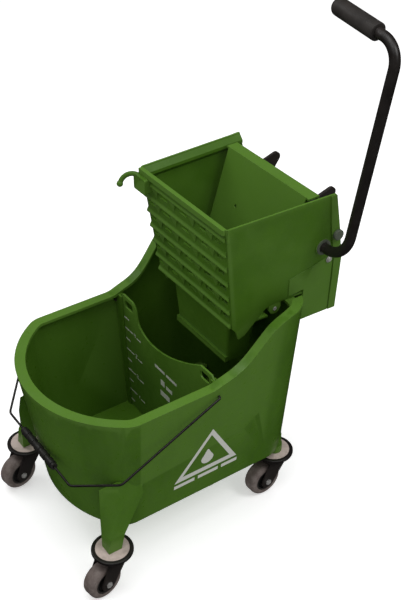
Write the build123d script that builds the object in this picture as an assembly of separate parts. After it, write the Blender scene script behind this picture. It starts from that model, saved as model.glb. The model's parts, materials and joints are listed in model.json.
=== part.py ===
from build123d import *
import os
from math import atan2, cos, degrees, hypot, radians, sin, sqrt, tan

# Mop bucket with a side-press wringer. Millimetres, +Z up, the rounded front of the
# bucket at -Y, the lever on the +X side. The drawing datum is the bucket's own cross
# line; every solid is moved by length_mid at the end so that the origin is the middle
# of the overall footprint, on the floor.

# ---- driving dimensions ----------------------------------------------------------
length_mid = -53.183

# bucket
tub_base_z = 111.0
rim_z = 394.0
shoulder_z = 505.0
saddle_z = 480.7
saddle_half = 164.0
base_half = 160.0
rim_half = 193.0
base_front_y = -342.5
rim_front_y = -383.5
tub_rear_y = 129.0
tub_front_radius = 230.0
tub_front_corner = 52.0
tub_rear_corner = 72.0
wall = 4.0
rim_width = 21.0
rim_depth = 6.0
floor_edge_radius = 8.0

# casters
wheel_radius = 38.0
wheel_half = 15.0
caster_trail = 29.0
front_caster_x = 178.0
front_caster_y = -324.0
rear_caster_x = 136.0
rear_caster_y = 96.0
cap_top_z = 103.0
cap_radius = 33.0
hood_radius = 41.0
fork_plate = 3.0
stem_radius = 6.0
running_fit = 0.05
part_gap = 0.5

# divider
divider_y = -80.0
divider_thick = 4.0
divider_top_half = 168.0
divider_foot_half = 149.0
divider_top_z = 401.0

# bail handle
bail_pivot_y = -88.0
bail_pivot_z = 376.0
bail_drop = 23.8
bail_reach = 312.0
bail_arm_half = 200.0
bail_front_half = 123.0
bail_arm_length = 241.0
bail_wire = 2.3
bail_grip_radius = 8.2
bail_grip_half = 62.0

# wringer
wringer_top_z = 693.0
front_top_y = -42.0
front_foot_y = -13.0
front_foot_z = 458.0
side_top_half = 142.0
side_flare = 0.0372
side_draft = 0.0685
lip = 12.0
hinge_y = 84.0
hinge_z = 470.0
hinge_pin_radius = 4.0
plate_lean = 18.5
plate_thick = 4.0
plate_top_half = 121.0
plate_foot_half = 115.0
plate_height = 227.0
flange_half = 128.0
plate_hole_x = -53.6
plate_hole_height = 129.0
web_x = 72.0
web_depth = 50.1
web_low = 150.0
web_high = 212.0

# press lever
lever_y = 184.5
lever_z = 580.0
lever_lean = 11.3
lever_radius = 10.2
lever_bore = 8.2
lever_side_x = 205.0
lever_far_x = -147.0
lever_low_bend = 50.0
lever_top_bend = 46.0
lever_top = 408.0
grip_tilt = 6.6
grip_radius = 17.0
grip_length = 116.0
arm_thick = 6.0
arm_tip_reach = 59.5
arm_tip_rise = 72.0
roller_reach = 21.5
roller_rise = 60.0
roller_radius = 11.0
roller_length = 20.0

# mop handle hook
hook_x = -126.0
hook_z = 672.0
hook_from_x = hook_x - 18
hook_to_x = hook_x + 22
hook_low_z = hook_z - 22
hook_high_z = hook_z + 10

# screw and stop lug on the side walls
screw_y = 202.0
screw_z = 545.0
stop_y = 214.0
stop_z = 600.0
shank_radius = 2.4


# ---- small helpers ---------------------------------------------------------------
def place(solid):
    return Pos(0, -length_mid, 0) * solid


def save(solid, node):
    shape = place(solid)
    shape.label = node
    export_step(shape, "parts/" + node + ".step")


def cylinder_x(radius, x_from, x_to, y, z):
    middle = (x_from + x_to) / 2
    return Pos(middle, y, z) * Rot(0, 90, 0) * Cylinder(radius, abs(x_to - x_from))


def box_between(x_from, x_to, y_from, y_to, z_from, z_to):
    size = (x_to - x_from, y_to - y_from, z_to - z_from)
    centre = ((x_from + x_to) / 2, (y_from + y_to) / 2, (z_from + z_to) / 2)
    return Pos(*centre) * Box(*size)


def side_slab(points, x_from, x_to):
    # a side-view outline given as (y, z) points, extruded across the width
    outline = Plane.YZ.offset(x_from) * Polygon(*points, align=None)
    return extrude(outline, amount=x_to - x_from, dir=(1, 0, 0))


# ---- bucket ------------------------------------------------------------------------
tub_side_slope = (rim_half - base_half) / (rim_z - tub_base_z)
tub_front_slope = (rim_front_y - base_front_y) / (rim_z - tub_base_z)
tub_loft_top_z = 520.0


def tub_half(z):
    return base_half + tub_side_slope * (z - tub_base_z)


def tub_front(z):
    return base_front_y + tub_front_slope * (z - tub_base_z)


def tub_section(z, inset):
    # plan outline of the bucket at height z: a round-ended tray with big rear corners
    half = tub_half(z) - inset
    front = tub_front(z) + inset
    rear = tub_rear_y - inset
    arc_radius = tub_front_radius - inset
    tray = Pos(0, (front + rear) / 2) * Rectangle(2 * half, rear - front)
    nose = Pos(0, front + arc_radius) * Circle(arc_radius)
    back = Pos(0, (front + arc_radius + rear) / 2) * Rectangle(2 * half, rear - front - arc_radius)
    outline = (tray & nose) + back
    rear_points = outline.vertices().sort_by(Axis.Y)[-2:]
    outline = fillet(rear_points, tub_rear_corner - inset)
    side_points = [v for v in outline.vertices() if abs(abs(v.X) - half) < 0.01 and v.Y < front + arc_radius]
    front_points = sorted(side_points, key=lambda v: v.Y)[:2]
    outline = fillet(front_points, tub_front_corner - inset)
    return Pos(0, 0, z) * outline


def tub_prism(z_from, z_to, inset):
    return loft([tub_section(z_from, inset), tub_section(z_to, inset)], ruled=True)


def tub_shell_block(radius):
    # the outer block, with its bottom edge rounded in short steps
    steps = 4
    sections = []
    for step in range(steps + 1):
        turn = radians(90 * step / steps)
        height = radius * (1 - cos(turn))
        inset = radius * (1 - sin(turn))
        sections.append(tub_section(tub_base_z + height, inset))
    sections.append(tub_section(tub_loft_top_z, 0))
    return loft(sections, ruled=True)


# the rim runs level along the front, then climbs to the shoulders beside the wringer
rim_rise = [(-104, 0), (-79, 6), (-54, 14), (-30, 27), (-8, 48), (14, 74), (34, 94), (56, 106), (80, 111)]


def rim_profile(drop):
    # everything above the rim line, seen from the side, as a face in the YZ plane
    points = [(y, rim_z + rise - drop) for y, rise in rim_rise]
    high = 600.0
    front_end = -450.0
    rear_end = 200.0
    curve = Spline(*points, tangents=[(1, 0), (1, 0)])
    start = Line((front_end, rim_z - drop), points[0])
    finish = Line(points[-1], (rear_end, points[-1][1]))
    close = Polyline((rear_end, points[-1][1]), (rear_end, high), (front_end, high), (front_end, rim_z - drop))
    return make_face([start, curve, finish, close])


def above_rim(drop):
    half = 260.0
    face = Plane.YZ.offset(-half) * rim_profile(drop)
    return extrude(face, amount=2 * half, dir=(1, 0, 0))


def front_leg(side):
    # a square post whose outer front corner fades back into the wall as it rises
    levels = [
        (cap_top_z, [(164, -338), (190, -338), (190, -310), (164, -310)]),
        (cap_top_z + 34, [(164, -338), (190, -333), (190, -302), (164, -302)]),
        (cap_top_z + 104, [(164, -338), (178, -291), (178, -250), (164, -250)]),
        (cap_top_z + 142, [(158, -334), (170, -291), (170, -250), (158, -250)]),
    ]
    sections = [Pos(0, 0, z) * Polygon(*corners, align=None) for z, corners in levels]
    leg = loft(sections, ruled=True)
    if side < 0:
        leg = mirror(leg, about=Plane.YZ)
    return leg


def rear_leg(side):
    return Pos(side * rear_caster_x, rear_caster_y, (cap_top_z + tub_base_z + 9) / 2) * Cylinder(
        17, tub_base_z + 9 - cap_top_z
    )


def stem_boss(x, y):
    # inside the floor, the socket that takes a caster stem
    boss_top = tub_base_z + 34
    return Pos(x, y, (tub_base_z + boss_top) / 2) * Cylinder(15, boss_top - tub_base_z)


def divider_half(z):
    share = (z - tub_base_z) / (divider_top_z - tub_base_z)
    return divider_foot_half + share * (divider_top_half - divider_foot_half)


def divider_rail(side):
    # a moulded post on the inner wall with a slot for the edge of the divider
    top = rim_z
    base = tub_base_z + wall / 2
    post_half = 5.4
    grip = 7.0
    corners = [
        (side * (divider_half(base) - grip), base),
        (side * (tub_half(base) - wall / 2), base),
        (side * (tub_half(top) - wall / 2), top),
        (side * (divider_half(top) - grip), top),
    ]
    outline = Plane.XZ.offset(-(divider_y + post_half)) * Polygon(*corners, align=None)
    return extrude(outline, amount=2 * post_half, dir=(0, -1, 0))


def divider_slot(side):
    slack = 0.5
    base = tub_base_z + wall + 0.01
    top = rim_z + 40
    slot_half = divider_thick / 2 + slack
    reach = divider_half(base) + slack
    reach_top = divider_half(top) + slack
    inner = 90.0
    corners = [(side * inner, base), (side * reach, base), (side * reach_top, top), (side * inner, top)]
    outline = Plane.XZ.offset(-(divider_y + slot_half)) * Polygon(*corners, align=None)
    return extrude(outline, amount=2 * slot_half, dir=(0, -1, 0))


def caster_places():
    return [
        ("front_right", front_caster_x, front_caster_y, 9.0),
        ("front_left", -front_caster_x, front_caster_y, 8.0),
        ("rear_right", rear_caster_x, rear_caster_y, 2.0),
        ("rear_left", -rear_caster_x, rear_caster_y, 5.0),
    ]


stem_top_z = tub_base_z + 26


def saddle_gap(z_from):
    # the middle of the rear rim, cut down between the shoulders for the wringer
    return box_between(-saddle_half, saddle_half, 60, 200, z_from, 600)


def tub():
    outer = tub_shell_block(floor_edge_radius)
    legs = front_leg(1) + front_leg(-1) + rear_leg(1) + rear_leg(-1)
    body = outer + legs
    body = body - above_rim(0) - saddle_gap(saddle_z)
    mouth = tub_prism(tub_base_z + 40, tub_loft_top_z + 1, rim_width)
    inner = tub_prism(tub_base_z + wall, tub_loft_top_z + 1, wall)
    inner = inner - above_rim(rim_depth) - saddle_gap(saddle_z - rim_depth)
    body = body - inner - mouth
    hole = bail_wire + running_fit
    body = body - cylinder_x(hole, -240, 240, bail_pivot_y, bail_pivot_z)
    for side in (-1, 1):
        body = body + stem_boss(side * rear_caster_x, rear_caster_y)
        body = body + (divider_rail(side) - divider_slot(side))
    for name, x, y, swivel in caster_places():
        body = body - Pos(x, y, (cap_top_z + stem_top_z) / 2) * Cylinder(stem_radius, stem_top_z - cap_top_z)
    return body


# ---- casters -----------------------------------------------------------------------
hood_z = cap_top_z - 7.0
axle_radius = 4.0


def caster_frame(x, y, swivel):
    # local frame: origin on the floor under the stem, local -Y is the trailing side
    return Pos(x, y, 0) * Rot(0, 0, swivel)


def caster_cap():
    disc = Pos(0, 0, cap_top_z - 1.35) * Cylinder(cap_radius, 2.7)
    return disc - Pos(0, 0, cap_top_z) * Cylinder(stem_radius, 20)


def caster_stem():
    head_z = hood_z - part_gap
    pin = Pos(0, 0, (head_z + stem_top_z) / 2) * Cylinder(stem_radius, stem_top_z - head_z)
    head = Pos(0, 0, head_z - 2.5) * Cylinder(11, 5)
    return pin + head


def fork_cheek(side):
    cheek_x = wheel_half + 3.0
    top = [(24, hood_z + 0.5), (24, 86), (-20, 86), (-20, hood_z + 0.5)]
    crown = Polygon(*top, align=None)
    eye = Pos(-caster_trail, wheel_radius) * Circle(15)
    outline = make_hull(crown.edges() + eye.edges())
    start = cheek_x if side > 0 else -cheek_x - fork_plate
    plate = extrude(Plane.YZ.offset(start) * outline, amount=fork_plate, dir=(1, 0, 0))
    return plate


def caster_fork():
    hood = Pos(0, 0, hood_z + 1.75) * Cylinder(hood_radius, 3.5)
    lip_ring = Cylinder(hood_radius, cap_top_z - hood_z) - Cylinder(cap_radius + part_gap, 40)
    hood = hood + Pos(0, 0, (hood_z + cap_top_z) / 2) * lip_ring
    outer_edges = hood.edges().filter_by(GeomType.CIRCLE).filter_by(lambda e: abs(e.radius - hood_radius) < 0.01)
    hood = fillet(outer_edges, 2.2)
    fork = hood + fork_cheek(1) + fork_cheek(-1)
    crown_bar = box_between(-wheel_half - 3.5, wheel_half + 3.5, 14, 18, 80, hood_z + 1)
    fork = fork + crown_bar
    fork = fork - Pos(0, 0, hood_z) * Cylinder(stem_radius + running_fit, 30)
    return fork - cylinder_x(axle_radius, -40, 40, -caster_trail, wheel_radius)


def caster_axle():
    reach = wheel_half + 3.0 + fork_plate
    shaft = cylinder_x(axle_radius, -reach - 5, reach + 2, -caster_trail, wheel_radius)
    head = Pos(reach + 1.5, -caster_trail, wheel_radius) * Rot(0, 90, 0) * extrude(RegularPolygon(6.5, 6), 3.0, both=False)
    head = Pos(-1.5, 0, 0) * head
    return shaft + head


def caster_nut():
    reach = wheel_half + 3.0 + fork_plate
    nut = Pos(-reach - 4, -caster_trail, wheel_radius) * Rot(0, 90, 0) * extrude(RegularPolygon(6.8, 6), 4.0)
    return nut - cylinder_x(axle_radius, -40, 40, -caster_trail, wheel_radius)


hub_radius = 25.0


def caster_hub():
    rim = cylinder_x(hub_radius, -wheel_half + 1, wheel_half - 1, -caster_trail, wheel_radius)
    boss = cylinder_x(9, -wheel_half - 2.4, wheel_half + 2.4, -caster_trail, wheel_radius)
    dish = cylinder_x(hub_radius - 4, wheel_half - 5, wheel_half + 2, -caster_trail, wheel_radius)
    dish = dish + cylinder_x(hub_radius - 4, -wheel_half - 2, -wheel_half + 5, -caster_trail, wheel_radius)
    return (rim - dish) + boss - cylinder_x(axle_radius + running_fit, -40, 40, -caster_trail, wheel_radius)


def caster_tyre():
    tyre = cylinder_x(wheel_radius, -wheel_half, wheel_half, -caster_trail, wheel_radius)
    tyre = fillet(tyre.edges().filter_by(GeomType.CIRCLE), 8)
    return tyre - cylinder_x(hub_radius, -40, 40, -caster_trail, wheel_radius)


# ---- divider -----------------------------------------------------------------------
# the scooped top edge, as (x, height below the corner)
scoop = [(-124, -1), (-112, -12), (-103, -42), (-80, -60), (-42, -65), (13, -54), (49, -40), (84, -23), (112, -7), (122, -1)]
finger_hole_x = 137.0
finger_hole_drop = 19.0


def divider():
    top = divider_top_z
    foot = tub_base_z + wall + part_gap
    points = [(x, top + drop) for x, drop in scoop]
    curve = Spline(*points)
    right = Polyline(points[-1], (divider_half(top) - 10, top), (divider_half(top - 10), top - 10), (divider_half(foot), foot))
    base = Line((divider_half(foot), foot), (-divider_half(foot), foot))
    left = Polyline((-divider_half(foot), foot), (-divider_half(top - 10), top - 10), (-divider_half(top) + 10, top), points[0])
    outline = make_face([curve, right, base, left])
    for side in (-1, 1):
        hole = Pos(side * finger_hole_x, top - finger_hole_drop) * RectangleRounded(30, 18, 7)
        outline = outline - hole
    face = Plane.XZ.offset(-(divider_y + divider_thick / 2)) * outline
    return extrude(face, amount=divider_thick, dir=(0, -1, 0))


# ---- bail handle -------------------------------------------------------------------
def bail_point(x, along):
    # a point of the wire, at a distance from the pivot line along the hanging plane
    return (
        x,
        bail_pivot_y - along * cos(radians(bail_drop)),
        bail_pivot_z - along * sin(radians(bail_drop)),
    )


def bail_wire_solid():
    inner_x = tub_half(bail_pivot_z) - wall - 9
    arm_start_x = 197.0
    corners = [
        bail_point(inner_x, 0),
        bail_point(arm_start_x, 0),
        bail_point(bail_arm_half, bail_arm_length),
        bail_point(bail_front_half, bail_reach),
        bail_point(-bail_front_half, bail_reach),
        bail_point(-bail_arm_half, bail_arm_length),
        bail_point(-arm_start_x, 0),
        bail_point(-inner_x, 0),
    ]
    path = FilletPolyline(*corners, radius=[4, 16, 16, 16, 16, 4])
    section = Plane(origin=corners[0], z_dir=(1, 0, 0)) * Circle(bail_wire)
    return sweep(section, path=path)


def bail_grip():
    y, z = bail_point(0, bail_reach)[1:]
    grip = cylinder_x(bail_grip_radius - 1.2, -bail_grip_half, bail_grip_half, y, z)
    ridge_pitch = 24.0
    for index in range(-2, 3):
        x = index * ridge_pitch
        ridge = cylinder_x(bail_grip_radius, x - 8, x + 8, y, z)
        ridge = fillet(ridge.edges().filter_by(GeomType.CIRCLE), 1.1)
        grip = grip + ridge
    return grip - cylinder_x(bail_wire, -100, 100, y, z)


# ---- wringer body ------------------------------------------------------------------
front_slope = (front_foot_y - front_top_y) / (wringer_top_z - front_foot_z)


def front_face_y(z):
    return front_top_y + (wringer_top_z - z) * front_slope


def wringer_half(y, z):
    return side_top_half + side_flare * (y - front_top_y) - side_draft * (wringer_top_z - z)


def wringer_wedge(z_from, z_to, inset, y_from, y_to):
    # the drafted, rearward flaring block between the two side walls
    sections = []
    for z in (z_from, z_to):
        near = wringer_half(y_from, z) - inset
        far = wringer_half(y_to, z) - inset
        corners = [(-near, y_from), (near, y_from), (far, y_to), (-far, y_to)]
        sections.append(Pos(0, 0, z) * Polygon(*corners, align=None))
    return loft(sections, ruled=True)


def rounded_wedge(z_from, z_to, inset):
    # the same block, ending at the sloping front face with its two corners rounded off
    y_to = 240
    sections = []
    for z in (z_from, z_to):
        front = front_face_y(z)
        corners = []
        for back, side_in in ((0, 8.0), (2.3, 2.3), (8.0, 0)):
            corners.append((wringer_half(front + back, z) - inset - side_in, front + back))
        corners.append((wringer_half(y_to, z) - inset, y_to))
        corners = corners + [(-x, y) for x, y in reversed(corners)]
        sections.append(Pos(0, 0, z) * Polygon(*corners, align=None))
    return loft(sections, ruled=True)


flange_profile = [(200, 693), (206, 666), (218, 612), (231.5, 540), (232, 500), (233, 415)]
side_low_edge = [(148, 415), (148, 493), (130, 487), (83, 484), (62, 478), (46, 462), (18, 431), (4, 426), (-3, 446)]
rear_flange = [(188, 692), (199, 615), (214, 541), (216, 500), (217, 416), (234, 416), (233, 540), (219, 612), (201, 692)]
raised_panel = [(113, 488), (112, 528), (137, 535), (160, 539), (178, 546), (212, 556), (215, 416), (149, 416), (149, 492)]


def wringer_side_view():
    top = [(front_top_y, wringer_top_z)]
    foot = [(front_face_y(front_foot_z), front_foot_z)]
    return top + flange_profile + side_low_edge + foot


rib_pitch = 34.8
rib_first_z = 669.0
rib_count = 7


def drain_slots():
    # a row of slots through the front wall under every rib but the lowest
    slots = []
    for row in range(rib_count - 1):
        z = rib_first_z - row * rib_pitch - 10
        y = front_face_y(z)
        for x, half in ((-112, 9), (-64, 13), (0, 13), (64, 13), (112, 9)):
            if row == 0 and x - half < hook_to_x:
                continue
            slots.append(box_between(x - half, x + half, y - 12, y + 12, z - 6, z + 6))
    return slots


def front_rib(z):
    # one drip rib across the front wall, shaped like a shingle edge
    y = front_face_y(z)
    half = wringer_half(y, z) - 4.5
    points = [(y + 1, z + 10), (y - 3.4, z + 2), (y - 4, z), (y - 3.2, z - 2.4), (y + 1, z - 3)]
    return side_slab(points, -half, half)


def in_front_of_wall(x_from, x_to, z_from, z_to):
    # the space before the sloping front face between two heights
    far_y = front_top_y - 30
    points = [(far_y, z_to), (front_face_y(z_to), z_to), (front_face_y(z_from), z_from), (far_y, z_from)]
    return side_slab(points, x_from, x_to)


def side_lip(side):
    # the inward sloping lip along the top of one side wall
    sections = []
    for y in (front_top_y + 5, 200):
        levels = [
            (wringer_top_z, 0.5),
            (wringer_top_z, 2.5),
            (wringer_top_z - lip, lip + 1),
            (wringer_top_z - 1.5 * lip, lip + 1),
            (wringer_top_z - 2.4 * lip, 3.5),
            (wringer_top_z - 2.4 * lip, 0.5),
        ]
        points = [(side * (wringer_half(y, z) - inset), z) for z, inset in levels]
        sections.append(Plane.XZ.offset(-y) * Polygon(*points, align=None))
    return loft(sections, ruled=True)


def wringer_body():
    inner_wall = 4.0
    outer = rounded_wedge(410, wringer_top_z, 0)
    outer = outer & side_slab(wringer_side_view(), -200, 200)
    cavity = wringer_wedge(409, wringer_top_z + 1, inner_wall, -61, 241)
    front_wall_points = [
        (front_top_y, wringer_top_z),
        (front_top_y + 4, wringer_top_z),
        (front_foot_y + 4, front_foot_z),
        (front_foot_y, front_foot_z),
    ]
    shell = outer - cavity
    solid_wedge = rounded_wedge(410, wringer_top_z, 1.0)
    front_wall = side_slab(front_wall_points, -200, 200) & solid_wedge
    front_bead = [(front_top_y - 4, 693), (front_top_y + 5, 693), (front_top_y + 5, 682), (front_top_y - 4, 682)]
    front_wall = front_wall + (side_slab(front_bead, -200, 200) & wringer_wedge(680, wringer_top_z, 4, -60, 240))
    floor_points = [(front_foot_y + 1, 462), (70, 458), (70, 454), (front_foot_y + 1, 458)]
    floor = side_slab(floor_points, -200, 200) & solid_wedge
    for column in range(-4, 5):
        x = column * 26
        floor = floor - box_between(x - 8, x + 8, 4, 60, 440, 480)
    body = shell + front_wall + floor
    for index in range(rib_count):
        body = body + front_rib(rib_first_z - index * rib_pitch)
    for slot in drain_slots():
        body = body - slot
    body = body + side_lip(1) + side_lip(-1)
    body = body - in_front_of_wall(hook_from_x - 1, hook_to_x + 1, hook_low_z - 1, hook_high_z)
    # saddle over the rear rim of the bucket and the panel that hooks behind it
    shelf = side_slab([(98, 485.5), (223, 485.5), (223, 481), (98, 481)], -200, 200) & solid_wedge
    hook_panel = side_slab([(148, 486), (153, 486), (153, 416), (148, 416)], -200, 200) & solid_wedge
    rear_panel = side_slab([(220, 530), (226, 530), (226, 416), (220, 416)], -200, 200) & solid_wedge
    edge_strips = side_slab(rear_flange, -200, 200) & wringer_wedge(400, 692, -2.5, -60, 240)
    edge_strips = edge_strips - wringer_wedge(390, 700, 1.0, -61, 241)
    side_pads = side_slab(raised_panel, -200, 200) & wringer_wedge(400, 692, -1.2, -60, 240)
    side_pads = side_pads - wringer_wedge(390, 700, 1.0, -61, 241)
    body = body + edge_strips + side_pads
    sill = side_slab([(94, 481.1), (104, 481.1), (104, 492), (98, 492)], -200, 200) & solid_wedge
    body = body + shelf + hook_panel + rear_panel + sill
    # deep collecting chute below the floor
    chute_outer = loft([
        Pos(0, 34, 345) * RectangleRounded(172, 52, 6),
        Pos(0, 36, 459) * RectangleRounded(190, 72, 6),
    ], ruled=True)
    chute_inner = loft([
        Pos(0, 34, 344) * RectangleRounded(166, 46, 4),
        Pos(0, 36, 460) * RectangleRounded(184, 66, 4),
    ], ruled=True)
    body = body + (chute_outer - chute_inner)
    body = body + box_between(-86, 86, 2, 9, 345, 357)
    # pivot bosses, hinge bosses and their holes
    for side in (-1, 1):
        wall_x = wringer_half(lever_y, lever_z)
        ends = sorted((side * (wall_x - 12), side * (wall_x + 1.5)))
        body = body + cylinder_x(18, ends[0], ends[1], lever_y, lever_z)
        wall_x = wringer_half(hinge_y, hinge_z)
        ends = sorted((side * (wall_x - 11), side * (wall_x - 1)))
        body = body + cylinder_x(11, ends[0], ends[1], hinge_y, hinge_z)
    # hinge ears hang from the side walls down to the hinge pin
    for side in (-1, 1):
        wall_x = wringer_half(hinge_y, hinge_z)
        ends = sorted((side * (wall_x - 5), side * (wall_x + 0.0)))
        ear = [(hinge_y - 14, 470), (hinge_y - 9, 461), (hinge_y, 458), (hinge_y + 9, 461), (hinge_y + 14, 470),
               (hinge_y + 14, 496), (hinge_y - 14, 496)]
        body = body + side_slab(ear, ends[0], ends[1])
    body = body - cylinder_x(bush_radius, -200, 200, lever_y, lever_z)
    body = body - cylinder_x(hinge_pin_radius, -160, 160, hinge_y, hinge_z)
    body = body - cylinder_x(shank_radius, -200, 200, screw_y, screw_z)
    body = body - cylinder_x(shank_radius, 100, 200, stop_y, stop_z)
    return body


bush_radius = 13.5


def lever_bush(side):
    wall_x = wringer_half(lever_y, lever_z)
    tube = cylinder_x(bush_radius, *sorted((side * (wall_x - 12), side * (wall_x + 1.5))), lever_y, lever_z)
    flange = cylinder_x(16, *sorted((side * (wall_x + 1.5), side * (wall_x + 3.5))), lever_y, lever_z)
    return (tube + flange) - cylinder_x(lever_radius + running_fit, -200, 200, lever_y, lever_z)


# ---- press plate -------------------------------------------------------------------
def lean_frame():
    # local Z runs up the plate, local +Y out of its back
    return Pos(0, hinge_y, hinge_z) * Rot(-plate_lean, 0, 0)


def press_plate():
    outline = Polygon(
        (-plate_foot_half, 0), (plate_foot_half, 0), (plate_top_half, plate_height), (-plate_top_half, plate_height),
        align=None,
    )
    sheet = extrude(Plane.XZ.offset(-plate_thick / 2) * outline, amount=plate_thick, dir=(0, -1, 0))
    flange = box_between(-flange_half, flange_half, -plate_thick / 2, 24, -4, 0)
    flange = flange + box_between(-flange_half, flange_half, 21, 24, -10, 0)
    flange = Pos(0, 0, plate_height) * Rot(plate_lean, 0, 0) * flange
    plate = sheet + flange
    for height in (60, 115, 170):
        plate = plate + box_between(-plate_foot_half, plate_foot_half, 0, 12, height - 2, height + 2)
    for x in (-112, -40, 0, 40, 112):
        plate = plate + box_between(x - 2, x + 2, 0, 12, 45, plate_height - 1)
    for side in (-1, 1):
        points = [(0, web_low - 30), (12, web_low - 18), (web_depth - 8, web_low), (web_depth, web_low + 6), (web_depth, web_high), (0, web_high)]
        web = side_slab(points, side * web_x - 3, side * web_x + 3)
        plate = plate + web
    barrel = cylinder_x(9, -plate_foot_half + 1, plate_foot_half - 1, 0, 0)
    plate = plate + barrel
    plate = plate - cylinder_x(hinge_pin_radius + running_fit, -200, 200, 0, 0)
    hole = Pos(plate_hole_x, 0, plate_hole_height) * Rot(90, 0, 0) * Cylinder(3.2, 3 * plate_thick)
    plate = plate - hole
    return lean_frame() * plate


def hinge_pin():
    reach = wringer_half(hinge_y, hinge_z) + 1
    return cylinder_x(hinge_pin_radius, -reach, reach, hinge_y, hinge_z)


# ---- lever -------------------------------------------------------------------------
def lever_frame():
    # local Z runs up the lever, local origin on the pivot line
    return Pos(0, lever_y, lever_z) * Rot(-lever_lean, 0, 0)


def grip_point(along):
    # a point on the axis of the hand grip, measured from where the grip starts
    start_x = 150.0
    rise = tan(radians(grip_tilt))
    x = start_x - along * cos(radians(grip_tilt))
    return (x, 0, lever_top + (lever_side_x - x) * rise)


def lever_tube():
    corners = [(lever_far_x, 0, 0), (lever_side_x, 0, 0), (lever_side_x, 0, lever_top), grip_point(grip_length - 10)]
    path = FilletPolyline(*corners, radius=[lever_low_bend, lever_top_bend])
    start = Plane(origin=corners[0], z_dir=(1, 0, 0))
    outer = sweep(start * Circle(lever_radius), path=path)
    inner = sweep(start * Circle(lever_bore), path=path)
    return lever_frame() * (outer - inner)


def lever_grip():
    start = Vector(*grip_point(0))
    end = Vector(*grip_point(grip_length))
    axis = Plane(origin=start, z_dir=(end - start).normalized())
    length = (end - start).length
    sleeve = extrude(axis * Circle(grip_radius), amount=length)
    ends = sleeve.edges().filter_by(GeomType.CIRCLE).sort_by(Axis.X)
    sleeve = fillet(ends[0], 12)
    sleeve = fillet(sleeve.edges().filter_by(GeomType.CIRCLE).sort_by(Axis.X)[-1], 2)
    bore = extrude(axis * Circle(lever_radius), amount=length - 10)
    return lever_frame() * (sleeve - bore)


def lever_cap():
    plug = cylinder_x(lever_bore, lever_far_x, lever_far_x + 10, lever_y, lever_z)
    head = cylinder_x(16, lever_far_x - 4, lever_far_x, lever_y, lever_z)
    return plug + head


arm_x = 86.0


def arm_frame():
    return Pos(0, lever_y, lever_z)


def push_arm(side):
    # a kidney shaped plate on the lever shaft; its tip stands up behind the press plate
    ring = Circle(19)
    tip = Pos(arm_tip_reach, arm_tip_rise) * Circle(11)
    seat = Pos(roller_reach, roller_rise) * Circle(11)
    outline = make_hull(ring.edges() + tip.edges() + seat.edges())
    outline = outline - Circle(lever_radius) - Pos(roller_reach, roller_rise) * Circle(4)
    plate = extrude(Plane.YZ.offset(side * arm_x - arm_thick / 2) * outline, amount=arm_thick, dir=(1, 0, 0))
    return arm_frame() * plate


def roller_pin(side):
    outer = arm_x + arm_thick / 2 + 3
    inner = arm_x - arm_thick / 2 - roller_length - 3.5
    pin = cylinder_x(4, *sorted((side * inner, side * outer)), roller_reach, roller_rise)
    head = cylinder_x(7, *sorted((side * (inner + 2.5), side * inner)), roller_reach, roller_rise)
    return arm_frame() * (pin + head)


def push_roller(side):
    outer = arm_x - arm_thick / 2 - 0.5
    ends = sorted((side * (outer - roller_length), side * outer))
    roller = cylinder_x(roller_radius, *ends, roller_reach, roller_rise)
    roller = fillet(roller.edges().filter_by(GeomType.CIRCLE), 1.5)
    return arm_frame() * (roller - cylinder_x(4 + running_fit, -200, 200, roller_reach, roller_rise))


# ---- mop handle hook ---------------------------------------------------------------
def handle_hook():
    face_y = front_top_y - 4
    block = in_front_of_wall(hook_from_x, hook_to_x, hook_low_z, hook_high_z)
    block = block & box_between(-200, 0, face_y - 8, 0, 0, wringer_top_z)
    block = fillet(block.edges().filter_by(Axis.Y), 4)
    arm_z = hook_z + 4
    corners = [
        (hook_x + 4, face_y - 4, arm_z),
        (hook_x - 18, face_y - 5, arm_z + 3),
        (hook_x - 34, face_y - 14, arm_z - 4),
        (hook_x - 40, face_y - 26, arm_z - 22),
    ]
    path = Spline(*corners)
    section = Plane(origin=path @ 0, z_dir=path % 0) * Circle(5)
    arm = sweep(section, path=path)
    ball = Pos(*corners[-1]) * Sphere(6.5)
    return block + arm + ball


# ---- screws and stop on the side walls ----------------------------------------------
def wringer_screws():
    # one pan head screw with a washer low behind the pivot on each side
    face = wringer_half(screw_y, screw_z) + 1.7
    screws = []
    for side in (-1, 1):
        washer = cylinder_x(6.8, *sorted((side * face, side * (face + 1.2))), screw_y, screw_z)
        head = cylinder_x(4.8, *sorted((side * (face + 1), side * (face + 4))), screw_y, screw_z)
        shank = cylinder_x(shank_radius, *sorted((side * (face - 11), side * (face + 1))), screw_y, screw_z)
        screws.append(washer + fillet(head.edges().sort_by(Axis.X)[0 if side < 0 else -1], 1.5) + shank)
    return Compound(screws)


def lever_stop():
    # a round lug screwed on behind the pivot, where the root of the lever rests
    face = wringer_half(stop_y, stop_z) + 3.4
    lug = cylinder_x(11, face, face + 6, stop_y, stop_z)
    lug = fillet(lug.edges().sort_by(Axis.X)[-1], 2)
    return lug + cylinder_x(shank_radius, face - 12, face + 1, stop_y, stop_z)


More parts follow.
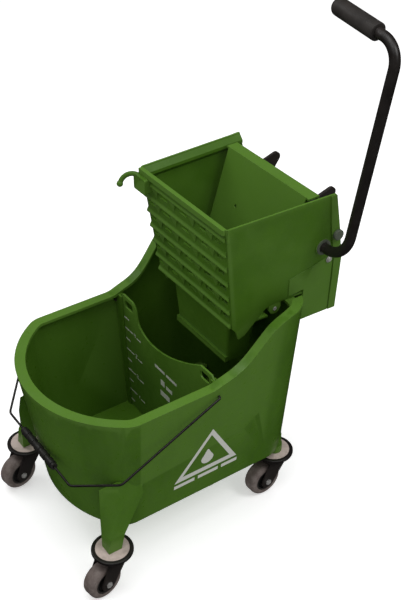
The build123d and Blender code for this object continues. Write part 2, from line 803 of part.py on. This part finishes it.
def main():
    os.makedirs("parts", exist_ok=True)
    save(tub(), "tub")
    save(divider(), "divider")
    save(bail_wire_solid(), "bail_wire")
    save(bail_grip(), "bail_grip")
    for name, x, y, swivel in caster_places():
        frame = caster_frame(x, y, swivel)
        pieces = [
            ("cap", caster_cap()),
            ("stem", caster_stem()),
            ("fork", caster_fork()),
            ("axle", caster_axle()),
            ("nut", caster_nut()),
            ("hub", caster_hub()),
            ("tyre", caster_tyre()),
        ]
        for piece, solid in pieces:
            save(frame * solid, piece + "_" + name)
    save(wringer_body(), "wringer_body")
    save(lever_bush(1), "lever_bush_right")
    save(lever_bush(-1), "lever_bush_left")
    save(press_plate(), "press_plate")
    save(hinge_pin(), "plate_hinge_pin")
    save(lever_tube(), "lever_tube")
    save(lever_grip(), "lever_grip")
    save(lever_cap(), "lever_cap")
    for side, name in ((1, "right"), (-1, "left")):
        save(push_arm(side), "push_arm_" + name)
        save(roller_pin(side), "roller_pin_" + name)
        save(push_roller(side), "push_roller_" + name)
    save(handle_hook(), "handle_hook")
    save(wringer_screws(), "wringer_screws")
    save(lever_stop(), "lever_stop")


main()
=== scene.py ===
import json
from math import cos, pi, radians, sin

import bmesh
import bpy
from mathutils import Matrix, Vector
from mathutils.bvhtree import BVHTree


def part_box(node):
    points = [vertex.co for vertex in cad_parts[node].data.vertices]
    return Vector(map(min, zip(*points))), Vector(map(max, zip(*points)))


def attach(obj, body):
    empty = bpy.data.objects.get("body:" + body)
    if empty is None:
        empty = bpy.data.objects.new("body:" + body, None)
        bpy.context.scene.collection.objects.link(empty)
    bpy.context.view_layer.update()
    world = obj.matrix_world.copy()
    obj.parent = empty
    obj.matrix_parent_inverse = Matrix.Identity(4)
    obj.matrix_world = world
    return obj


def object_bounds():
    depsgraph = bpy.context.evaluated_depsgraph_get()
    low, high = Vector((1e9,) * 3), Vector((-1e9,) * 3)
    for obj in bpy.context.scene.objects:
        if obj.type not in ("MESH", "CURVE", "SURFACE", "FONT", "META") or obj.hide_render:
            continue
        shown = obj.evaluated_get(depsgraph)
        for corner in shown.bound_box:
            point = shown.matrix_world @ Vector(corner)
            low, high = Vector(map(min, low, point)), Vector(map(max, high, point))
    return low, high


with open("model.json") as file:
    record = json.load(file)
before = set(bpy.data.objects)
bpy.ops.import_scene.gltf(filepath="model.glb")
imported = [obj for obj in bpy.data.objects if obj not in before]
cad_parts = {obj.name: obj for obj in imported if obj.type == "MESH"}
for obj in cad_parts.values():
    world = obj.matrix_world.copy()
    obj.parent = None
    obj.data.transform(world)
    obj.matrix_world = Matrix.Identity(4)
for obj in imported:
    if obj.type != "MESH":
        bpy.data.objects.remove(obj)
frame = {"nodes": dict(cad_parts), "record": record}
size_at_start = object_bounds()

nodes = frame["nodes"]
scene = bpy.context.scene
low, high = size_at_start
centre = (low + high) / 2


# ---- node helpers ---------------------------------------------------------------------
BEVEL_SAMPLES = 4


class Surface:
    """A principled material on object coordinates, with short calls for its nodes."""

    def __init__(self, name, roughness, specular=0.5, metallic=0.0, coat=0.0):
        self.material = bpy.data.materials.new(name)
        self.material.use_nodes = True
        self.tree = self.material.node_tree
        self.shader = self.tree.nodes["Principled BSDF"]
        self.shader.inputs["Roughness"].default_value = roughness
        self.shader.inputs["Specular IOR Level"].default_value = specular
        self.shader.inputs["Metallic"].default_value = metallic
        self.shader.inputs["Coat Weight"].default_value = coat
        self.place = self.tree.nodes.new("ShaderNodeTexCoord").outputs["Object"]

    def node(self, kind, **settings):
        made = self.tree.nodes.new(kind)
        for key, value in settings.items():
            setattr(made, key, value)
        return made

    def link(self, source, target):
        self.tree.links.new(source, target)

    def stretched(self, scale):
        mapping = self.node("ShaderNodeMapping")
        mapping.inputs["Scale"].default_value = scale
        self.link(self.place, mapping.inputs["Vector"])
        return mapping.outputs["Vector"]

    def noise(self, scale, detail=3.0, roughness=0.55, stretch=None):
        made = self.node("ShaderNodeTexNoise")
        made.inputs["Scale"].default_value = scale
        made.inputs["Detail"].default_value = detail
        made.inputs["Roughness"].default_value = roughness
        self.link(self.stretched(stretch) if stretch else self.place, made.inputs["Vector"])
        return made.outputs["Fac"]

    def spread(self, value, start, full, least=0.0, most=1.0):
        # a value between start and full becomes a share between least and most
        made = self.node("ShaderNodeMapRange", interpolation_type="SMOOTHSTEP")
        made.inputs["From Min"].default_value = start
        made.inputs["From Max"].default_value = full
        made.inputs["To Min"].default_value = least
        made.inputs["To Max"].default_value = most
        self.link(value, made.inputs["Value"])
        return made.outputs["Result"]

    def mix(self, share, first, second):
        made = self.node("ShaderNodeMix", data_type="RGBA")
        self.link(share, made.inputs["Factor"])
        for socket, value in ((made.inputs["A"], first), (made.inputs["B"], second)):
            if isinstance(value, tuple):
                socket.default_value = (*value, 1.0)
            else:
                self.link(value, socket)
        return made.outputs["Result"]

    def bump(self, height, strength, distance, below=None):
        made = self.node("ShaderNodeBump")
        made.inputs["Strength"].default_value = strength
        made.inputs["Distance"].default_value = distance
        self.link(height, made.inputs["Height"])
        if below is not None:
            self.link(below, made.inputs["Normal"])
        return made.outputs["Normal"]

    def soft_edges(self, radius):
        made = self.node("ShaderNodeBevel", samples=BEVEL_SAMPLES)
        made.inputs["Radius"].default_value = radius
        return made.outputs["Normal"]

    def edge_wear(self):
        point = self.node("ShaderNodeNewGeometry").outputs["Pointiness"]
        return self.spread(point, start=0.51, full=0.58)

    def paint(self, colour=None, roughness=None, normal=None):
        for name, value in (("Base Color", colour), ("Roughness", roughness), ("Normal", normal)):
            if value is not None:
                self.link(value, self.shader.inputs[name])
        return self.material


# ---- materials ------------------------------------------------------------------------
GREEN_DEEP = (0.050, 0.126, 0.0085)
GREEN_FRESH = (0.062, 0.150, 0.0115)
GREEN_PALE = (0.110, 0.225, 0.034)
MOULDED_BLACK = (0.012, 0.011, 0.010)
MOULDED_WORN = (0.022, 0.020, 0.018)
POWDER_BLACK = (0.0095, 0.0075, 0.0068)
POWDER_WORN = (0.017, 0.014, 0.0125)
DISC_CLEAN = (0.60, 0.50, 0.45)
DISC_GRUBBY = (0.34, 0.28, 0.24)
BUSH_CLEAN = (0.10, 0.12, 0.085)
BUSH_GRUBBY = (0.05, 0.055, 0.04)
UPRIGHT_SCRATCHES = (1.0, 1.0, 14.0)
# heights of the bumps, in metres
FINE = 0.0002
COARSE = 0.0003


def green_plastic(name, flow, gloss):
    # moulded polypropylene: broad flow marks, fine mould grain, rubbed edges and scuffs
    s = Surface(name, roughness=gloss, specular=0.22)
    broad = s.spread(s.noise(scale=5.5, detail=4.0), start=0.3, full=0.72)
    flow_noise = s.noise(scale=9.0, detail=5.0, roughness=0.6, stretch=flow)
    streaks = s.spread(flow_noise, start=0.35, full=0.7)
    colour = s.mix(broad, GREEN_DEEP, GREEN_FRESH)
    colour = s.mix(s.spread(streaks, start=0.0, full=1.0, most=0.22), colour, GREEN_PALE)
    speck = s.spread(s.noise(scale=520.0, detail=2.0), start=0.58, full=0.72, most=0.35)
    colour = s.mix(speck, colour, GREEN_PALE)
    scratches = s.noise(scale=34.0, detail=6.0, roughness=0.72, stretch=UPRIGHT_SCRATCHES)
    scuff = s.spread(scratches, start=0.64, full=0.74, most=0.3)
    colour = s.mix(scuff, colour, GREEN_PALE)
    colour = s.mix(s.spread(s.edge_wear(), start=0.0, full=1.0, most=0.5), colour, GREEN_PALE)
    cloud = s.noise(scale=60.0, detail=5.0)
    rough = s.spread(cloud, start=0.3, full=0.75, least=gloss - 0.07, most=gloss + 0.12)
    edges = s.soft_edges(radius=0.0011)
    grain = s.bump(s.noise(scale=1500.0, detail=2.0), strength=0.16, distance=FINE, below=edges)
    waves = s.bump(broad, strength=0.1, distance=0.0012, below=grain)
    return s.paint(colour, rough, s.bump(scratches, strength=0.05, distance=COARSE, below=waves))


def dark_coat(name, deep, worn, gloss):
    # black powder coat with orange peel and a little rubbing on the edges
    s = Surface(name, roughness=gloss, specular=0.5)
    cloud = s.spread(s.noise(scale=18.0, detail=4.0), start=0.3, full=0.7)
    colour = s.mix(cloud, deep, worn)
    dust = s.spread(s.noise(scale=260.0), start=0.6, full=0.74, most=0.25)
    colour = s.mix(dust, colour, brighter(worn, 3.2))
    rubbed = s.spread(s.edge_wear(), start=0.0, full=1.0, most=0.35)
    colour = s.mix(rubbed, colour, brighter(worn, 3.0))
    haze = s.noise(scale=80.0, detail=4.0)
    rough = s.spread(haze, start=0.3, full=0.7, least=gloss - 0.06, most=gloss + 0.12)
    edges = s.soft_edges(radius=0.0006)
    peel = s.bump(s.noise(scale=700.0, detail=2.0), strength=0.18, distance=FINE, below=edges)
    return s.paint(colour, rough, peel)


def soft_grip(name):
    # soft black rubber sleeve with a fine pebble and lengthwise wear
    s = Surface(name, roughness=0.6, specular=0.35)
    cloud = s.spread(s.noise(scale=30.0, detail=4.0), start=0.3, full=0.7)
    colour = s.mix(cloud, (0.020, 0.017, 0.015), (0.034, 0.029, 0.026))
    pebble = s.noise(scale=900.0, detail=2.0)
    wear = s.noise(scale=24.0, roughness=0.5, stretch=(1.0, 1.0, 3.0))
    rough = s.spread(wear, start=0.35, full=0.7, least=0.48, most=0.72)
    edges = s.soft_edges(radius=0.0008)
    return s.paint(colour, rough, s.bump(pebble, strength=0.35, distance=COARSE, below=edges))


def bright_zinc(name):
    # turned and zinc plated steel: fine rings and a faint spangle, uneven in its shine
    s = Surface(name, roughness=0.45, metallic=0.55)
    spangle = s.spread(s.noise(scale=160.0), start=0.35, full=0.7)
    colour = s.mix(spangle, (0.50, 0.49, 0.47), (0.74, 0.73, 0.70))
    rings = s.noise(scale=900.0, detail=2.0, roughness=0.5, stretch=(6.0, 1.0, 1.0))
    haze = s.noise(scale=90.0, detail=4.0)
    rough = s.spread(haze, start=0.3, full=0.7, least=0.36, most=0.56)
    edges = s.soft_edges(radius=0.0004)
    return s.paint(colour, rough, s.bump(rings, strength=0.12, distance=FINE, below=edges))


def pale_plastic(name, clean, grubby, gloss, dirt_scale):
    # light moulded plastic that has picked up floor dirt
    s = Surface(name, roughness=gloss, specular=0.4)
    dirt_noise = s.noise(scale=dirt_scale, detail=6.0, roughness=0.65)
    dirt = s.spread(dirt_noise, start=0.42, full=0.75, most=0.75)
    colour = s.mix(dirt, clean, grubby)
    speck = s.spread(s.noise(scale=420.0, detail=2.0), start=0.6, full=0.75, most=0.4)
    colour = s.mix(speck, colour, grubby)
    haze = s.noise(scale=70.0, detail=4.0)
    rough = s.spread(haze, start=0.3, full=0.7, least=gloss - 0.08, most=gloss + 0.1)
    edges = s.soft_edges(radius=0.0006)
    grain = s.bump(s.noise(scale=1100.0, detail=2.0), strength=0.2, distance=FINE, below=edges)
    return s.paint(colour, rough, grain)


def rolled_rubber(name):
    # grey non-marking tyre: scuffed, with grit pressed into the tread
    s = Surface(name, roughness=0.55, specular=0.35)
    worn = s.spread(s.noise(scale=70.0, detail=6.0, roughness=0.7), start=0.35, full=0.7)
    colour = s.mix(worn, (0.135, 0.105, 0.094), (0.205, 0.170, 0.155))
    grit = s.spread(s.noise(scale=640.0), start=0.62, full=0.72, most=0.7)
    colour = s.mix(grit, colour, (0.045, 0.04, 0.036))
    haze = s.noise(scale=120.0, detail=4.0)
    rough = s.spread(haze, start=0.3, full=0.7, least=0.45, most=0.7)
    tread = s.noise(scale=420.0, detail=4.0)
    edges = s.soft_edges(radius=0.0008)
    return s.paint(colour, rough, s.bump(tread, strength=0.25, distance=COARSE, below=edges))


def print_ink(name):
    # hot-stamped white foil, thin in places so that the green shows through
    s = Surface(name, roughness=0.5, specular=0.3)
    patches = s.noise(scale=330.0, detail=5.0, roughness=0.7)
    thin = s.spread(patches, start=0.58, full=0.8, most=0.55)
    colour = s.mix(thin, (0.62, 0.63, 0.58), (0.16, 0.22, 0.1))
    rough = s.spread(s.noise(scale=90.0), start=0.3, full=0.7, least=0.42, most=0.6)
    grain = s.bump(s.noise(scale=900.0, detail=2.0), strength=0.15, distance=0.0001)
    return s.paint(colour, rough, grain)


def brighter(colour, times):
    return tuple(times * channel for channel in colour)


materials = {
    "green_plastic": green_plastic("tub_green", flow=(1.0, 1.0, 0.25), gloss=0.34),
    "black_plastic": dark_coat("moulded_black", MOULDED_BLACK, MOULDED_WORN, gloss=0.5),
    "black_steel": dark_coat("powder_black", POWDER_BLACK, POWDER_WORN, gloss=0.36),
    "zinc_steel": bright_zinc("zinc_plate"),
    "pale_grey_plastic": pale_plastic(
        "caster_disc", DISC_CLEAN, DISC_GRUBBY, gloss=0.5, dirt_scale=42.0
    ),
    "wheel_tread_grey": rolled_rubber("tyre_grey"),
    "grip_rubber": soft_grip("grip_black"),
    "grey_nylon": pale_plastic(
        "bush_nylon", BUSH_CLEAN, BUSH_GRUBBY, gloss=0.45, dirt_scale=70.0
    ),
}
wringer_green = green_plastic("wringer_green", flow=(0.3, 1.0, 1.0), gloss=0.38)
divider_green = green_plastic("divider_green", flow=(1.0, 1.0, 0.4), gloss=0.36)
ink = print_ink("print_white")
own_material = {
    "wringer_body": wringer_green,
    "press_plate": wringer_green,
    "handle_hook": wringer_green,
    "divider": divider_green,
}


def dress_nodes():
    slot_of = {part["node"]: part["material_slot"] for part in frame["record"]["subparts"]}
    for name, part in nodes.items():
        part.data.materials.clear()
        part.data.materials.append(own_material.get(name) or materials[slot_of[name]])


# ---- printed marks --------------------------------------------------------------------
PRINT_THICKNESS = 0.0002
PRINT_LIFT = 0.00012
# how far outside a part a ray sets out for its skin
STANDOFF = 0.02


def surface_under(node, toward):
    # a function that gives the point of the node's skin met from outside along one direction
    mesh = nodes[node].data
    corners = [v.co for v in mesh.vertices]
    faces = [tuple(p.vertices) for p in mesh.polygons]
    tree = BVHTree.FromPolygons(corners, faces)
    look = Vector(toward)

    def skin(point):
        return tree.ray_cast(Vector(point), look)[0]

    return skin


def print_on(name, node, body, toward, shapes, grid):
    # thin raised prints: each flat shape is cut into a fine grid, laid on the node's skin
    skin = surface_under(node, toward)
    look = Vector(toward)
    mesh = bmesh.new()
    for outline in shapes:
        flat = [mesh.verts.new(point) for point in outline]
        mesh.faces.new(flat)
    low_corner = [min(v.co[i] for v in mesh.verts) for i in range(3)]
    high_corner = [max(v.co[i] for v in mesh.verts) for i in range(3)]
    for axis in (i for i in range(3) if abs(look[i]) < 0.5):
        cut = low_corner[axis] + grid
        while cut < high_corner[axis]:
            point = [0.0, 0.0, 0.0]
            normal = [0.0, 0.0, 0.0]
            point[axis] = cut
            normal[axis] = 1.0
            everything = mesh.verts[:] + mesh.edges[:] + mesh.faces[:]
            bmesh.ops.bisect_plane(mesh, geom=everything, plane_co=point, plane_no=normal)
            cut += grid
    bmesh.ops.recalc_face_normals(mesh, faces=mesh.faces)
    for vertex in mesh.verts:
        hit = skin(vertex.co)
        if hit is not None:
            vertex.co = hit - look * PRINT_LIFT
    raised = bmesh.ops.extrude_face_region(mesh, geom=mesh.faces[:])
    for item in raised["geom"]:
        if isinstance(item, bmesh.types.BMVert):
            item.co -= look * PRINT_THICKNESS
    bmesh.ops.recalc_face_normals(mesh, faces=mesh.faces)
    data = bpy.data.meshes.new(name)
    mesh.to_mesh(data)
    mesh.free()
    data.materials.append(ink)
    made = bpy.data.objects.new(name, data)
    scene.collection.objects.link(made)
    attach(made, body)
    return made


# ---- moulded facets on the wringer's front ------------------------------------------------
FACET_PLACES = (-0.090, -0.032, 0.032, 0.090)
FACET_HALF = 0.0115
FACET_PROUD = 0.0034
FACET_ROOT = 0.0006
RIB_SHADOW = 0.0025
RIB_APART = 0.015
RIB_HEIGHT = 0.013
SCAN_STEP = 0.001


def rib_undersides(skin, x, start_y, top_z, bottom_z):
    # heights at which the wall steps back in under a drip rib, from the top down
    found = []
    passed = []
    z = top_z - SCAN_STEP
    while z > bottom_z:
        hit = skin((x, start_y, z))
        if hit is not None:
            passed.append(hit.y)
            steps_in = len(passed) > 2 and passed[-1] - passed[-3] > RIB_SHADOW
            if steps_in and (not found or found[-1] - z > RIB_APART):
                found.append(z)
        z -= SCAN_STEP
    return found


def front_facets():
    # a tapering facet under each rib between every two drain slots
    wringer_low, wringer_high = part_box("wringer_body")
    skin = surface_under("wringer_body", (0, 1, 0))
    start_y = wringer_low.y - STANDOFF
    ribs = rib_undersides(skin, FACET_PLACES[2], start_y, wringer_high.z, wringer_low.z)
    mesh = bmesh.new()
    for top_z, next_z in zip(ribs[1:], ribs[2:]):
        foot_z = next_z + RIB_HEIGHT
        for x in FACET_PLACES:
            top_y = skin((x, start_y, top_z)).y
            foot_y = skin((x, start_y, foot_z)).y
            corners = [
                (x - FACET_HALF, top_y - FACET_PROUD, top_z),
                (x + FACET_HALF, top_y - FACET_PROUD, top_z),
                (x, foot_y, foot_z),
                (x - FACET_HALF, top_y + FACET_ROOT, top_z),
                (x + FACET_HALF, top_y + FACET_ROOT, top_z),
                (x, foot_y + FACET_ROOT, foot_z),
            ]
            made = [mesh.verts.new(corner) for corner in corners]
            for face in ((0, 1, 2), (3, 5, 4), (0, 3, 4, 1), (0, 2, 5, 3), (1, 4, 5, 2)):
                mesh.faces.new([made[index] for index in face])
    bmesh.ops.recalc_face_normals(mesh, faces=mesh.faces)
    data = bpy.data.meshes.new("front_facets")
    mesh.to_mesh(data)
    mesh.free()
    data.materials.append(wringer_green)
    facets = bpy.data.objects.new("front_facets", data)
    scene.collection.objects.link(facets)
    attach(facets, "wringer")


def ring_of(outer, inner):
    # a closed outline band as one quad per side
    count = len(outer)
    return [
        [outer[i], outer[(i + 1) % count], inner[(i + 1) % count], inner[i]] for i in range(count)
    ]


# the mark on the side: a triangle, a hollow inside it, a drop and three bars
MARK_ALONG = 0.552
MARK_ABOVE_BASE = 0.124
MARK_GRID = 0.012
EDGE_HALF = 0.074
EDGE_HEIGHT = 0.113
EDGE_LEAN = 0.008
HOLLOW_HALF = 0.056
HOLLOW_HEIGHT = 0.086
HOLLOW_LEAN = 0.006
HOLLOW_SHIFT = 0.0003
HOLLOW_LOWER = 0.0008
SHARE_ABOVE = 0.55
SHARE_BELOW = 0.45
DROP_RADIUS = 0.0145
DROP_SHIFT = 0.001
DROP_LOWER = 0.016
DROP_STEPS = 28
DROP_PEAK = 0.75
DROP_SHARPNESS = 6
DROP_NARROWING = 0.25
BARS_LOWER = 0.067
BAR_HEIGHT = 0.009
BAR_SPANS = ((-0.074, -0.026), (-0.018, 0.03), (0.038, 0.076))


def triangle(centre_y, centre_z, half_width, height, sideways):
    top = (centre_y + sideways, centre_z + height * SHARE_ABOVE)
    left = (centre_y - half_width, centre_z - height * SHARE_BELOW)
    right = (centre_y + half_width, centre_z - height * SHARE_BELOW)
    return [left, right, top]


def water_drop(centre_y, centre_z):
    # a circle drawn out to a point at its top
    around = []
    for step in range(DROP_STEPS):
        turn = 2 * pi * step / DROP_STEPS
        upward = max(0.0, cos(turn))
        pull = 1.0 + DROP_PEAK * upward ** DROP_SHARPNESS
        y = centre_y + DROP_RADIUS * sin(turn) * (1.0 - DROP_NARROWING * upward)
        z = centre_z + DROP_RADIUS * cos(turn) * pull
        around.append((y, z))
    return list(reversed(around))


def side_mark():
    # a plain triangle with a water drop and three bars, in place of lettering
    tub_low, tub_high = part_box("tub")
    reach = tub_high.y - tub_low.y
    mark_y = tub_low.y + MARK_ALONG * reach
    mark_z = tub_low.z + MARK_ABOVE_BASE
    face_x = tub_high.x + STANDOFF
    edge = triangle(mark_y, mark_z, EDGE_HALF, EDGE_HEIGHT, EDGE_LEAN)
    hollow_y = mark_y + HOLLOW_SHIFT
    hollow = triangle(hollow_y, mark_z - HOLLOW_LOWER, HOLLOW_HALF, HOLLOW_HEIGHT, HOLLOW_LEAN)
    shapes = ring_of(edge, hollow)
    shapes.append(water_drop(mark_y + DROP_SHIFT, mark_z - DROP_LOWER))
    bar_z = mark_z - BARS_LOWER
    for start, end in BAR_SPANS:
        shapes.append([
            (mark_y + start, bar_z), (mark_y + end, bar_z),
            (mark_y + end, bar_z + BAR_HEIGHT), (mark_y + start, bar_z + BAR_HEIGHT),
        ])
    outlines = [[(face_x, y, z) for y, z in shape] for shape in shapes]
    print_on("side_mark", "tub", "bucket", (-1, 0, 0), outlines, MARK_GRID)


# the level marks on the divider
SCALE_INSET = 0.011
SCALE_TOP = 0.229
SCALE_STEP = 0.0268
SCALE_MARKS = 9
SCALE_LEAN = 0.0012
SCALE_GRID = 0.02
TICK_HEIGHT = 0.0026
SHORT_TICK = 0.018
LONG_TICK = 0.030
UNIT_TICK = 0.016
UNIT_ALONG = 0.045
UNIT_LOWER = 0.003
TOP_NUMERAL = 4
NUMERAL_ALONG = 0.035
NUMERAL_LOWER = 0.004
NUMERAL_HEIGHT = 0.0105
STROKE_SHARE = 0.16
WIDTH_SHARE = 0.56
BLOCK_LOWER = 0.055
# x, z, width and height of each bar in the block beside the marks
BLOCK_BARS = (
    (-0.041, 0.0, 0.036, 0.006),
    (0.001, 0.0, 0.038, 0.006),
    (-0.020, -0.034, 0.014, 0.014),
    (0.0, -0.034, 0.022, 0.008),
    (-0.022, -0.062, 0.034, 0.013),
)
DIGIT_STROKES = {
    1: ("right",),
    2: ("top", "upper_right", "middle", "lower_left", "bottom"),
    3: ("top", "right", "middle", "bottom"),
    4: ("upper_left", "middle", "right"),
}


def box_outline(x, z, width, height):
    return [(x, z), (x + width, z), (x + width, z + height), (x, z + height)]


def digit(number, x, z, height):
    # a plain stroke numeral, lower left corner at x, z
    stroke = height * STROKE_SHARE
    width = height * WIDTH_SHARE
    half = height / 2
    places = {
        "top": (x, z + height - stroke, width, stroke),
        "middle": (x + stroke, z + half - stroke / 2, width - 2 * stroke, stroke),
        "bottom": (x, z, width, stroke),
        "right": (x + width - stroke, z + stroke, stroke, height - 2 * stroke),
        "upper_right": (x + width - stroke, z + half - stroke / 2, stroke, half - stroke / 2),
        "upper_left": (x, z + half - stroke / 2, stroke, half - stroke / 2),
        "lower_left": (x, z + stroke, stroke, half - stroke / 2),
    }
    return [box_outline(*places[name]) for name in DIGIT_STROKES[number]]


def fill_scale():
    # level marks up the divider's front: short and long ticks with plain numerals
    panel_low, panel_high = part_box("divider")
    start_x = panel_low.x + SCALE_INSET
    top_z = panel_low.z + SCALE_TOP
    front_y = panel_low.y - STANDOFF
    shapes = []
    for index in range(SCALE_MARKS):
        z = top_z - index * SCALE_STEP
        x = start_x + SCALE_LEAN * index
        if index % 2:
            numeral = TOP_NUMERAL - index // 2
            shapes.append(box_outline(x, z, LONG_TICK, TICK_HEIGHT))
            shapes.extend(digit(numeral, x + NUMERAL_ALONG, z - NUMERAL_LOWER, NUMERAL_HEIGHT))
            shapes.append(box_outline(x + UNIT_ALONG, z - UNIT_LOWER, UNIT_TICK, TICK_HEIGHT))
        else:
            shapes.append(box_outline(x, z, SHORT_TICK, TICK_HEIGHT))
    block_z = top_z - BLOCK_LOWER
    for x, z, width, height in BLOCK_BARS:
        shapes.append(box_outline(x, block_z + z, width, height))
    outlines = [[(x, front_y, z) for x, z in shape] for shape in shapes]
    print_on("fill_scale", "divider", "divider_panel", (0, 1, 0), outlines, SCALE_GRID)


# ---- floor, light and camera ------------------------------------------------------------
WHITE = (1.0, 1.0, 1.0, 1.0)
FLOOR_REACH = 14.0
FLOOR_GAP = 0.0005
FLOOR_GLOW = 0.42
WORLD_STRENGTH = 0.55
LENS = 64.71
SENSOR_HEIGHT = 36.0
CLIP_END = 60.0
# the point that the camera looks at, from the middle of the model's box
AIM_SHIFT = Vector((0.00246, 0.05403, -0.05991))
CAMERA_AZIMUTH = 55.45
CAMERA_ELEVATION = 35.69
CAMERA_DISTANCE = 2.1211


def spot(azimuth, elevation, distance):
    # a point round the origin: azimuth 0 is towards -Y and 90 towards +X
    turn, lift = radians(azimuth), radians(elevation)
    return Vector((sin(turn) * cos(lift), -cos(turn) * cos(lift), sin(lift))) * distance


def studio():
    floor_material = Surface("studio_floor", roughness=0.9, specular=0.1)
    clouds = floor_material.spread(floor_material.noise(scale=0.6, detail=2.0), start=0.3, full=0.7)
    floor_material.paint(floor_material.mix(clouds, (0.93, 0.93, 0.93), (0.96, 0.96, 0.96)))
    floor_material.shader.inputs["Emission Color"].default_value = WHITE
    floor_material.shader.inputs["Emission Strength"].default_value = FLOOR_GLOW
    reach = FLOOR_REACH
    data = bpy.data.meshes.new("studio_floor")
    corners = [(-reach, -reach, 0), (reach, -reach, 0), (reach, reach, 0), (-reach, reach, 0)]
    data.from_pydata(corners, [], [(0, 1, 2, 3)])
    data.materials.append(floor_material.material)
    floor = bpy.data.objects.new("studio_floor", data)
    floor.location.z = low.z - FLOOR_GAP
    floor.visible_glossy = False
    floor.visible_diffuse = False
    scene.collection.objects.link(floor)


def lamp(name, azimuth, elevation, distance, size, power):
    data = bpy.data.lights.new(name, "AREA")
    data.shape = "DISK"
    data.size = size
    data.energy = power
    made = bpy.data.objects.new(name, data)
    made.location = centre + spot(azimuth, elevation, distance)
    made.rotation_euler = (centre - made.location).to_track_quat("-Z", "Y").to_euler()
    scene.collection.objects.link(made)


def lights():
    world = bpy.data.worlds.new("studio")
    scene.world = world
    world.use_nodes = True
    background = world.node_tree.nodes["Background"]
    background.inputs["Color"].default_value = WHITE
    background.inputs["Strength"].default_value = WORLD_STRENGTH
    world.cycles_visibility.glossy = False
    lamp("top_soft", azimuth=20, elevation=80, distance=2.6, size=2.2, power=30)
    lamp("left_soft", azimuth=-60, elevation=42, distance=3.0, size=1.2, power=12)
    lamp("right_soft", azimuth=118, elevation=48, distance=3.2, size=1.2, power=24)


def camera():
    data = bpy.data.cameras.new("camera")
    data.sensor_fit = "VERTICAL"
    data.sensor_height = SENSOR_HEIGHT
    data.lens = LENS
    data.clip_end = CLIP_END
    made = bpy.data.objects.new("camera", data)
    aim = centre + AIM_SHIFT
    made.location = aim + spot(CAMERA_AZIMUTH, CAMERA_ELEVATION, CAMERA_DISTANCE)
    facing = (aim - made.location).to_track_quat("-Z", "Y")
    made.rotation_mode = "QUATERNION"
    made.rotation_quaternion = facing
    scene.collection.objects.link(made)
    scene.camera = made


scene.view_settings.view_transform = "Standard"
scene.view_settings.look = "None"
dress_nodes()
side_mark()
fill_scale()
front_facets()
studio()
lights()
camera()
